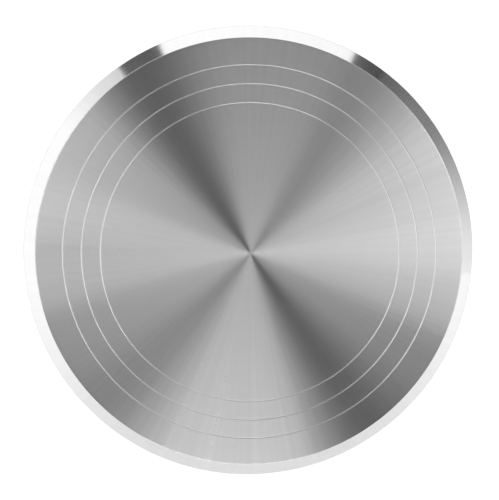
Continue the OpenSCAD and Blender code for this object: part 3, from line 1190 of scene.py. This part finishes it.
@dataclass
class Spindle:
    """The steel spindle, with the spacer and the shim that are threaded on it.

    Attributes:
        z_seat: The height of the hub's seat, which is the collar's upper face.
        radius: The radius in the bearings and the hub.
        collar_r: The radius of the collar between the bearing and the hub.
        groove: The depth of the retaining ring's groove.
        chamfer: The chamfer on the ends.
        drill_r: The radius of the centre drilled in the lower end.
        drill_depth: The depth of that centre.
        fit: The clearance of the spacer and the shim.
        edge: The broken edge of the spacer and the shim.
        steps: How many faces go round.
    """

    z_seat: float
    radius: float = 10 * MM
    collar_r: float = 13 * MM
    groove: float = 0.5 * MM
    chamfer: float = 1 * MM
    drill_r: float = 3 * MM
    drill_depth: float = 3 * MM
    fit: float = 0.02 * MM
    edge: float = 0.2 * MM
    steps: int = 96

    def section(self) -> list[Corner]:
        """Draws the half section of the spindle, from the drilled centre to the top."""
        z_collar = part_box("upper_inner_race")[1].z
        z_low, z_high = (corner.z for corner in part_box("spindle"))
        clip_low, clip_high = (corner.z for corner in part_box("retaining_ring"))
        return [
            Corner(0, z_low + self.drill_depth),
            Corner(self.drill_r, z_low),
            Corner(self.radius - self.chamfer, z_low),
            Corner(self.radius, z_low + self.chamfer),
            Corner(self.radius, clip_low),
            Corner(self.radius - self.groove, clip_low),
            Corner(self.radius - self.groove, clip_high),
            Corner(self.radius, clip_high),
            Corner(self.radius, z_collar),
            Corner(self.collar_r, z_collar, self.edge),
            Corner(self.collar_r, self.z_seat, self.edge),
            Corner(self.radius, self.z_seat),
            Corner(self.radius, z_high - self.chamfer),
            Corner(self.radius - self.chamfer, z_high),
            Corner(0, z_high),
        ]

    def sleeve(self, name: str, node: str) -> Workpiece:
        """Turns a plain sleeve that fits the spindle, to a node's own size.

        Args:
            name: The sleeve's name.
            node: The node that it stands for.

        Returns:
            The sleeve.
        """
        low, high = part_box(node)
        bore = self.radius + self.fit
        ends = ((bore, low.z), (high.x, low.z), (high.x, high.z), (bore, high.z))
        return Workpiece.spun(name, [Corner(r, z, self.edge) for r, z in ends], self.steps)

    def build(self) -> None:
        """Models the spindle, the spacer and the shim and dresses them."""
        spindle = Workpiece.spun("ground_spindle", self.section(), self.steps, closed=False)
        spindle.fix("spindle", Body.WHEEL, GROUND_STEEL)
        self.sleeve("race_spacer", "spacer").fix("spacer", Body.WHEEL, GROUND_STEEL)
        self.sleeve("brass_shim", "shim").fix("shim", Body.WHEEL, ROLLED_BRASS)
        keep("retaining_ring", BLACK_OXIDE)


@dataclass
class BallBearing:
    """One shielded ball bearing.

    Attributes:
        place: Which bearing it is.
        bore_r: The radius of the inner race's bore.
        inner_r: The radius of the inner race's shoulder.
        outer_r: The radius of the outer race's shoulder.
        pitch_r: The radius of the circle that the balls run on.
        groove_r: The radius of the raceways.
        seat: The depth and the height of a shield's seat.
        shield_t: The thickness of a shield.
        shield_inset: How far a shield lies below the races' faces.
        shield_gap: The running gap between a shield and the inner race.
        shield_dip: How far the middle of a shield is pressed in.
        edge: The radius of the races' edges.
        steps: How many faces go round.
    """

    place: Place
    bore_r: float = 10.02 * MM
    inner_r: float = 13.2 * MM
    outer_r: float = 17.8 * MM
    pitch_r: float = 15.5 * MM
    groove_r: float = 3.205 * MM
    seat: float = 1 * MM
    shield_t: float = 0.5 * MM
    shield_inset: float = 0.5 * MM
    shield_gap: float = 0.3 * MM
    shield_dip: float = 0.35 * MM
    edge: float = 0.6 * MM
    steps: int = 96

    def __post_init__(self) -> None:
        """Takes the bearing's size from the frame."""
        low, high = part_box(self.part("outer_race"))
        self.rim_r = high.x
        self.z_low = low.z
        self.z_high = high.z
        self.z_middle = (low.z + high.z) / 2

    def part(self, name: str) -> str:
        """Returns the full name of one of the bearing's parts."""
        return f"{self.place.value}_{name}"

    def raceway(self, shoulder: float, middle: float) -> list[Corner]:
        """Draws the groove that the balls run in, which runs clockwise round a ball.

        Args:
            shoulder: The radius of the race's shoulder.
            middle: The direction of the groove's middle from the ball's centre.

        Returns:
            The groove's points.
        """
        reach = math.acos(abs(shoulder - self.pitch_r) / self.groove_r)
        centre = Vector((self.pitch_r, self.z_middle))
        return arc(centre, self.groove_r, middle + reach, middle - reach)

    def inner_race(self) -> list[Corner]:
        """Draws the half section of the inner race."""
        return [
            Corner(self.bore_r, self.z_low, self.edge),
            Corner(self.inner_r, self.z_low),
            *self.raceway(self.inner_r, math.pi),
            Corner(self.inner_r, self.z_high),
            Corner(self.bore_r, self.z_high, self.edge),
        ]

    def outer_race(self) -> list[Corner]:
        """Draws the half section of the outer race."""
        seat_r = self.outer_r + self.seat
        return [
            Corner(self.rim_r, self.z_high, self.edge),
            Corner(seat_r, self.z_high),
            Corner(seat_r, self.z_high - self.seat),
            Corner(self.outer_r, self.z_high - self.seat),
            *self.raceway(self.outer_r, 0),
            Corner(self.outer_r, self.z_low + self.seat),
            Corner(seat_r, self.z_low + self.seat),
            Corner(seat_r, self.z_low),
            Corner(self.rim_r, self.z_low, self.edge),
        ]

    def shield(self, z_face: float, inward: float) -> list[Corner]:
        """Draws the half section of one pressed shield.

        Args:
            z_face: The height of the races' faces on its side.
            inward: 1 where the bearing lies above the shield, and -1 where it lies below.

        Returns:
            The section's corners.
        """
        outside = z_face + inward * self.shield_inset
        inside = outside + inward * self.shield_t
        dip = inward * self.shield_dip
        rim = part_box(self.part("shields"))[1].x
        mouth = self.inner_r + self.shield_gap
        bend = self.outer_r - self.shield_t
        return [
            Corner(rim, outside),
            Corner(bend + self.shield_dip, outside, self.shield_dip),
            Corner(bend, outside + dip, self.shield_dip),
            Corner(mouth, outside + dip),
            Corner(mouth, inside + dip),
            Corner(bend, inside + dip),
            Corner(bend + self.shield_dip, inside),
            Corner(rim, inside),
        ]

    def build(self) -> None:
        """Models the races and the shields and dresses the whole bearing."""
        races = (("inner", Body.WHEEL, self.inner_race()), ("outer", Body.BASE, self.outer_race()))
        for side, body, section in races:
            ring = Workpiece.spun(self.part(f"{side}_ring"), section, self.steps)
            ring.fix(self.part(f"{side}_race"), body, GROUND_STEEL)
        for side, z_face, inward in (("top", self.z_high, -1), ("bottom", self.z_low, 1)):
            shield = Workpiece.spun(self.part(f"shield_{side}"), self.shield(z_face, inward), self.steps)
            shield.fix(self.part("shields"), Body.BASE, PRESSED_SHEET)
        keep(self.part("balls"), GROUND_STEEL)
        keep(self.part("cage"), PRESSED_SHEET)


# The pedestal and its foot ring


@dataclass
class FootRing:
    """The rubber ring that the pedestal stands on.

    Attributes:
        width: The ring's width.
        gap: The ring's clearance in the foot.
        edge: The radius of the sole's edges.
        grooves: The number of grip grooves.
        groove_r: The radius of a grip groove.
        steps: How many faces go round.
    """

    width: float = 10 * MM
    gap: float = 0.02 * MM
    edge: float = 1 * MM
    grooves: int = 2
    groove_r: float = 0.6 * MM
    steps: int = 192

    def __post_init__(self) -> None:
        """Takes the ring's outer size from the frame."""
        low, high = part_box("foot_ring")
        self.outer_r = high.x
        self.inner_r = high.x - self.width
        self.z_low = low.z
        self.z_top = high.z

    def section(self) -> list[Corner]:
        """Draws the half section of the ring."""
        pitch = self.width / (self.grooves + 1)
        grips: list[Corner] = []
        for number in range(1, self.grooves + 1):
            centre = Vector((self.inner_r + number * pitch, self.z_low))
            grips += arc(centre, self.groove_r, math.pi, 0)
        return [
            Corner(self.inner_r, self.z_top, self.edge / FINER),
            Corner(self.inner_r, self.z_low, self.edge),
            *grips,
            Corner(self.outer_r, self.z_low, self.edge),
            Corner(self.outer_r, self.z_top, self.edge / FINER),
        ]

    def build(self) -> None:
        """Models the ring and dresses it."""
        ring = Workpiece.spun("rubber_foot_ring", self.section(), self.steps)
        ring.fix("foot_ring", Body.BASE, BLACK_RUBBER)


@dataclass
class Pedestal:
    """The cast pedestal: a flared shell with webs, round the bearing housing.

    Attributes:
        ring: The rubber ring that is let into the foot.
        foot_h: The height of the foot's edge.
        foot_edge: The radius of the foot's upper edge.
        neck_r: The radius of the neck.
        cove: The radius of the cove under the collar.
        collar_r: The radius of the collar.
        collar_h: The height of the collar.
        lip_h: The height of the lip on the collar.
        housing_r: The outer radius of the lip and of the bearing housing.
        seat_r: The radius of the bearings' seats.
        bore_r: The radius of the bore between the bearings.
        shell: The wall of the flared shell.
        hollow_h: The height of the hollow under the foot.
        rim_r: The radius of the hollow's mouth.
        housing_skirt: How far the housing runs down past the lower bearing.
        edge: The radius of the turned edges.
        mould: The moulded radius of the cast edges.
        webs: The number of webs in the hollow.
        web_t: The thickness of a web.
        web_setback: How far the webs stop short of the foot's underside.
        web_root: How far a web is let into the walls that it joins.
        steps: How many faces go round.
    """

    ring: FootRing
    foot_h: float = 12 * MM
    foot_edge: float = 3 * MM
    neck_r: float = 32 * MM
    cove: float = 3 * MM
    collar_r: float = 35 * MM
    collar_h: float = 10 * MM
    lip_h: float = 4 * MM
    housing_r: float = 27 * MM
    seat_r: float = 21 * MM
    bore_r: float = 18 * MM
    shell: float = 6 * MM
    hollow_h: float = 46 * MM
    rim_r: float = 78 * MM
    housing_skirt: float = 18.5 * MM
    edge: float = 1 * MM
    mould: float = 1.5 * MM
    webs: int = 4
    web_t: float = 5 * MM
    web_setback: float = 7 * MM
    web_root: float = 2 * MM
    steps: int = 192

    def __post_init__(self) -> None:
        """Takes the outer size and the bearings' places from the frame."""
        low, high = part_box("pedestal")
        self.foot_r = high.x
        self.z_foot = low.z
        self.z_lip = high.z
        self.z_shoulder = high.z - self.lip_h
        self.z_collar = self.z_shoulder - self.collar_h
        self.z_foot_top = low.z + self.foot_h
        self.z_hollow = low.z + self.hollow_h
        self.z_upper_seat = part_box("upper_outer_race")[0].z
        self.z_lower_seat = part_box("lower_outer_race")[1].z
        self.z_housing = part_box("lower_outer_race")[0].z - self.housing_skirt
        self.flare = self.foot_r - self.foot_edge - self.neck_r
        self.flare_centre = Vector((self.neck_r + self.flare, self.z_foot_top + self.flare))

    def inside_of_flare(self, radius: float, z_top: float, r_end: float) -> list[Corner]:
        """Draws an arc inside the flare's own, about the same centre.

        Args:
            radius: The arc's radius.
            z_top: The height where it starts.
            r_end: The radius from the axis where it ends.

        Returns:
            The arc's points, from the top outward and down.
        """
        start = math.pi + math.asin((self.flare_centre.y - z_top) / radius)
        end = math.pi + math.acos((self.flare_centre.x - r_end) / radius)
        return arc(self.flare_centre, radius, start, end)

    def section(self) -> list[Corner]:
        """Draws the half section of the pedestal."""
        cove_centre = Vector((self.neck_r + self.cove, self.z_collar - self.cove))
        broken = self.edge / FINER
        ring_inner = self.ring.inner_r - self.ring.gap
        ring_outer = self.ring.outer_r + self.ring.gap
        return [
            Corner(self.foot_r, self.z_foot, broken),
            Corner(self.foot_r, self.z_foot_top, self.foot_edge),
            *arc(self.flare_centre, self.flare, math.pi + RIGHT_ANGLE, math.pi),
            *arc(cove_centre, self.cove, math.pi, RIGHT_ANGLE),
            Corner(self.collar_r, self.z_shoulder, self.edge),
            Corner(self.housing_r, self.z_shoulder, broken),
            Corner(self.housing_r, self.z_lip, broken),
            Corner(self.seat_r, self.z_lip, broken),
            Corner(self.seat_r, self.z_upper_seat),
            Corner(self.bore_r, self.z_upper_seat, broken),
            Corner(self.bore_r, self.z_lower_seat, broken),
            Corner(self.seat_r, self.z_lower_seat),
            Corner(self.seat_r, self.z_housing, broken),
            Corner(self.housing_r, self.z_housing, self.edge),
            Corner(self.housing_r, self.z_hollow, self.mould),
            *self.inside_of_flare(self.flare + self.shell, self.z_hollow, self.rim_r),
            Corner(self.rim_r, self.z_foot, broken),
            Corner(ring_inner, self.z_foot),
            Corner(ring_inner, self.ring.z_top),
            Corner(ring_outer, self.ring.z_top),
            Corner(ring_outer, self.z_foot),
        ]

    def web(self) -> Workpiece:
        """Returns one web, let into the housing and the shell."""
        inner = self.housing_r - self.web_root
        outer = self.rim_r + self.web_root
        z_top = self.z_hollow + self.web_root
        return Workpiece.plate("foot_web", [
            Corner(inner, self.z_housing),
            Corner(inner, z_top),
            *self.inside_of_flare(self.flare + self.shell - self.web_root, z_top, outer),
            Corner(outer, self.z_foot + self.web_setback),
        ], self.web_t)

    def machined(self, centre: Vector, normal: Vector) -> bool:
        """Says whether a face is machined: the collar and what is above it, and the bores."""
        return centre.z > self.z_collar or centre.xy.length < self.seat_r + self.edge / 2

    def build(self) -> None:
        """Models the pedestal and dresses it."""
        pedestal = Workpiece.spun("cast_pedestal", self.section(), self.steps)
        pedestal.combine(self.web().around(spaced(self.webs)), Combine.ADD)
        pedestal.fix("pedestal", Body.BASE, CAST_BODY, (MACHINED_SEAT, self.machined))


# The studio


def upward(azimuth: float, elevation: float) -> Vector:
    """Points in a direction.

    Args:
        azimuth: Degrees anticlockwise from +X.
        elevation: Degrees above the horizon.

    Returns:
        The direction, one metre long.
    """
    a = math.radians(azimuth)
    e = math.radians(elevation)
    return Vector((math.cos(e) * math.cos(a), math.cos(e) * math.sin(a), math.sin(e)))


def width_of(angle: float, distance: float) -> float:
    """Returns the width of what looks an angle wide, in degrees, from a distance."""
    return 2 * distance * math.tan(math.radians(angle) / 2)


@dataclass(frozen=True)
class SoftBox:
    """A soft rectangular lamp that looks at the wheel.

    Attributes:
        name: The lamp's name.
        azimuth: Its direction from the wheel, in degrees anticlockwise from +X.
        elevation: Its height above the wheel, in degrees.
        spread: How wide it looks from the wheel, in degrees round the horizon.
        rise: How high it looks from the wheel, in degrees.
        radiance: How bright its face is, where 1 is white.
    """

    name: str
    azimuth: float
    elevation: float
    spread: float
    rise: float
    radiance: float

    def build(self, target: Vector, distance: float) -> None:
        """Hangs the lamp.

        Args:
            target: What it looks at.
            distance: How far away it hangs.
        """
        heading = upward(self.azimuth, self.elevation)
        clear()
        bpy.ops.object.light_add(type="AREA", location=target + heading * distance)
        lamp = named(self.name)
        lamp.rotation_euler = (-heading).to_track_quat("-Z", "Y").to_euler()
        lamp.visible_camera = False
        light = lamp.data
        light.shape = "RECTANGLE"
        light.size = width_of(self.spread, distance * math.cos(math.radians(self.elevation)))
        light.size_y = width_of(self.rise, distance)
        light.energy = self.radiance * math.pi * light.size * light.size_y
        log.info("%s: lamp at %g degrees", self.name, self.azimuth)


@dataclass(frozen=True)
class Card:
    """A glowing card that only metal mirrors, brighter towards one of its ends: it lights nothing and
    casts no shadow, so it is a painted reflection.

    Attributes:
        name: The card's name.
        first: The direction of its first end, in degrees anticlockwise from +X.
        last: The direction of its last end.
        first_level: How bright it is at its first end, where 1 is white.
        last_level: How bright it is at its last end.
        half: Half the width of the card before it is sized.
    """

    name: str
    first: float
    last: float
    first_level: float
    last_level: float
    half: float = 0.5

    def material(self) -> Material:
        """Returns the card's glow, from end to end."""
        graph = Graph(bpy.data.materials.new(self.name))
        across = graph.add("SeparateXYZ", {0: graph.point()})["X"]
        level = graph.between(across, self.first_level, self.last_level, self.half, -self.half, Ease.SOFT)
        return graph.end("Material", graph.add("Emission", {"Strength": level})[0])

    def build(self, distance: float, height: float) -> None:
        """Stands the card on the floor.

        Args:
            distance: How far it stands from the axis.
            height: Its height.
        """
        heading = upward((self.first + self.last) / 2, 0)
        clear()
        bpy.ops.mesh.primitive_plane_add(size=2 * self.half)
        card = named(self.name)
        card.scale = (width_of(self.last - self.first, distance), height, 1)
        card.rotation_euler = (-heading).to_track_quat("Z", "Y").to_euler()
        card.location = heading * distance + Vector((0, 0, height / 2))
        card.data.materials.append(self.material())
        # Hidden from all rays but mirrored ones, so the card is only a painted reflection.
        for rays in ("camera", "diffuse", "shadow", "transmission"):
            setattr(card, f"visible_{rays}", False)


@dataclass
class Studio:
    """The plain floor, the soft light and the camera.

    Attributes:
        lamps: The soft boxes.
        cards: The glowing cards round the wheel, which show only as painted reflections in the metal.
        lamp_distance: How far the lamps hang from the wheel.
        card_distance: How far the cards stand from the axis.
        card_h: The height of a card.
        floor_size: The width of the floor.
        floor_drop: The hair's breadth between the floor and the foot.
        floor_colour: The floor's own colour.
        floor_speckle: The size of the floor's speckles.
        floor_mottle: How far the speckles are off that colour.
        floor_glow: What the floor adds where it is seen, so that it looks white.
        floor_fade: Where that glow starts to rise to white, and where it is white.
        floor_mirrored: What the floor adds where metal mirrors it.
        low_sky: How bright the pale band low in the sky is, all round.
        low_sky_fade: Where that band starts to fade and where it ends, in degrees above the horizon.
        high_sky: How bright the sky above it is.
        camera_distance: How far the camera is from the work face.
        camera_lean: How far the camera leans off the axis, in X and Y, for each metre of distance.
        focal_px: The lens's focal length, in pixels of the photograph.
        centre_px: Where the middle of the work face falls in the photograph.
        sensor: The width of the camera's sensor, in millimetres.
    """

    lamps: tuple[SoftBox, ...] = (
        SoftBox("right_box", azimuth=13.1, elevation=54.5, spread=40.5, rise=33.5, radiance=2.2),
        SoftBox("front_box", azimuth=269.3, elevation=55.3, spread=43.5, rise=29.7, radiance=2.2),
        SoftBox("left_box", azimuth=155.7, elevation=52.3, spread=40.5, rise=33, radiance=2.2),
        SoftBox("right_fill_box", azimuth=344.7, elevation=50, spread=20, rise=21.7, radiance=1.79),
        SoftBox("left_fill_box", azimuth=189.2, elevation=50, spread=24.8, rise=24.7, radiance=1.36),
    )
    # Glowing cards, light and dark, that show only as painted reflections in the metal.
    cards: tuple[Card, ...] = (
        Card("right_pale_card", first=-8, last=35, first_level=0.90, last_level=0.20),
        Card("right_grey_card", first=35, last=50, first_level=0.20, last_level=0.12),
        Card("right_dark_card", first=50, last=59, first_level=0.05, last_level=0.11),
        Card("back_white_card", first=59, last=112.7, first_level=1.05, last_level=1.1),
        Card("back_dark_card", first=112.7, last=125, first_level=0.09, last_level=0.1),
        Card("left_pale_card", first=125.5, last=149, first_level=0.75, last_level=1.08),
        Card("left_white_card", first=149, last=192, first_level=1.08, last_level=1.08),
        Card("front_pale_card", first=192, last=244, first_level=1.06, last_level=0.82),
        Card("corner_pale_card", first=300, last=352, first_level=0.82, last_level=1.06),
    )
    lamp_distance: float = 3.0
    card_distance: float = 0.55
    card_h: float = 0.2
    floor_size: float = 30.0
    floor_drop: float = 0.1 * MM
    floor_colour: float = 0.80
    floor_speckle: float = 40 * MM
    floor_mottle: float = 0.01
    floor_glow: float = 0.70
    floor_fade: tuple[float, float] = (0.6, 2.0)
    floor_mirrored: float = 0.26
    low_sky: float = 1.0
    low_sky_fade: tuple[float, float] = (20.0, 35.0)
    high_sky: float = 0.03
    camera_distance: float = 0.886
    camera_lean: tuple[float, float] = (-0.0522, 0.0631)
    focal_px: float = 1325.0
    centre_px: tuple[float, float] = (250.6, 253.1)
    sensor: float = 36.0

    def __post_init__(self) -> None:
        """Finds the middle of the work face."""
        self.face = Vector((0, 0, cad_box[1][2]))

    def light_sky(self) -> None:
        """Sets the pale low sky, which looks white behind the wheel."""
        graph = Graph(bpy.data.worlds.new("studio"))
        bpy.context.scene.world = graph.owner
        height = graph.add("SeparateXYZ", {0: graph.add("TexCoord", {})["Generated"]})["Z"]
        start, end = (math.sin(math.radians(angle)) for angle in self.low_sky_fade)
        level = graph.between(height, self.low_sky, self.high_sky, start, end, Ease.SOFT)
        strength = graph.math("MAXIMUM", level, graph.add("LightPath", {})["Is Camera Ray"])
        graph.end("World", graph.add("Background", {"Color": WHITE, "Strength": strength})[0])

    def floor_material(self) -> Material:
        """Returns the pale floor, which looks white and still takes a shadow, seen from above only."""
        graph = Graph(bpy.data.materials.new("studio_floor"))
        place = graph.point()
        low = (self.floor_colour - self.floor_mottle,) * 3
        high = (self.floor_colour + self.floor_mottle,) * 3
        speckle = graph.noise(place, self.floor_speckle)
        paint = graph.add("BsdfDiffuse", {"Color": graph.tint(speckle, low, high)})
        away = graph.vector("LENGTH", place)["Value"]
        white = graph.between(away, self.floor_glow, 1.0, *self.floor_fade)
        seen = graph.add("LightPath", {})
        mirrored = graph.math("MAXIMUM", seen["Is Glossy Ray"], seen["Is Transmission Ray"])
        shown = graph.math("MULTIPLY", seen["Is Camera Ray"], white)
        strength = graph.math("MULTIPLY_ADD", mirrored, self.floor_mirrored, shown)
        glow = graph.add("Emission", {"Strength": strength})
        lit = graph.add("AddShader", {0: paint[0], 1: glow[0]})
        clear_below = graph.add("BsdfTransparent", {})
        side = graph.add("NewGeometry", {})["Backfacing"]
        both = graph.add("MixShader", {0: side, 1: lit[0], 2: clear_below[0]})
        return graph.end("Material", both[0])

    def lay_floor(self) -> None:
        """Lays the floor under the foot."""
        clear()
        bpy.ops.mesh.primitive_plane_add(size=self.floor_size, location=(0, 0, -self.floor_drop))
        floor = named("studio_floor")
        floor.data.materials.append(self.floor_material())

    def aim_camera(self) -> None:
        """Puts the camera where the photograph was taken from."""
        lean = Vector((*self.camera_lean, 0))
        lean.z = math.sqrt(1 - lean.length_squared)
        place = self.face + lean * self.camera_distance
        offset = Vector((IMAGE_WIDTH / 2 - self.centre_px[0], self.centre_px[1] - IMAGE_HEIGHT / 2, 0))
        target = self.face + offset * self.camera_distance / self.focal_px
        forward = (target - place).normalized()
        right = forward.cross(Vector((0, 1, 0))).normalized()
        up = right.cross(forward)
        clear()
        bpy.ops.object.camera_add(location=place)
        camera = named("photo_camera")
        camera.rotation_euler = Matrix((right, up, -forward)).transposed().to_euler()
        camera.data.sensor_width = self.sensor
        camera.data.lens = self.focal_px / max(IMAGE_WIDTH, IMAGE_HEIGHT) * self.sensor
        bpy.context.scene.camera = camera

    def build(self) -> None:
        """Sets up the whole studio."""
        bpy.context.scene.view_settings.view_transform = "Standard"
        self.aim_camera()
        for lamp in self.lamps:
            lamp.build(self.face, self.lamp_distance)
        self.light_sky()
        self.lay_floor()
        for card in self.cards:
            card.build(self.card_distance, self.card_h)


def main() -> None:
    """Builds the banding wheel, piece by piece, in its studio."""
    logging.basicConfig(level=logging.INFO, format="%(name)s: %(message)s")
    screws = HeadScrews()
    hub = Hub(screws)
    bearings = [BallBearing(place) for place in Place]
    ring = FootRing()
    stand = (Spindle(hub.z_seat), *bearings, Pedestal(ring), ring)
    for assembly in (WheelHead(screws), hub, screws, *stand, Studio()):
        assembly.build()


if __name__ == "__main__":
    main()
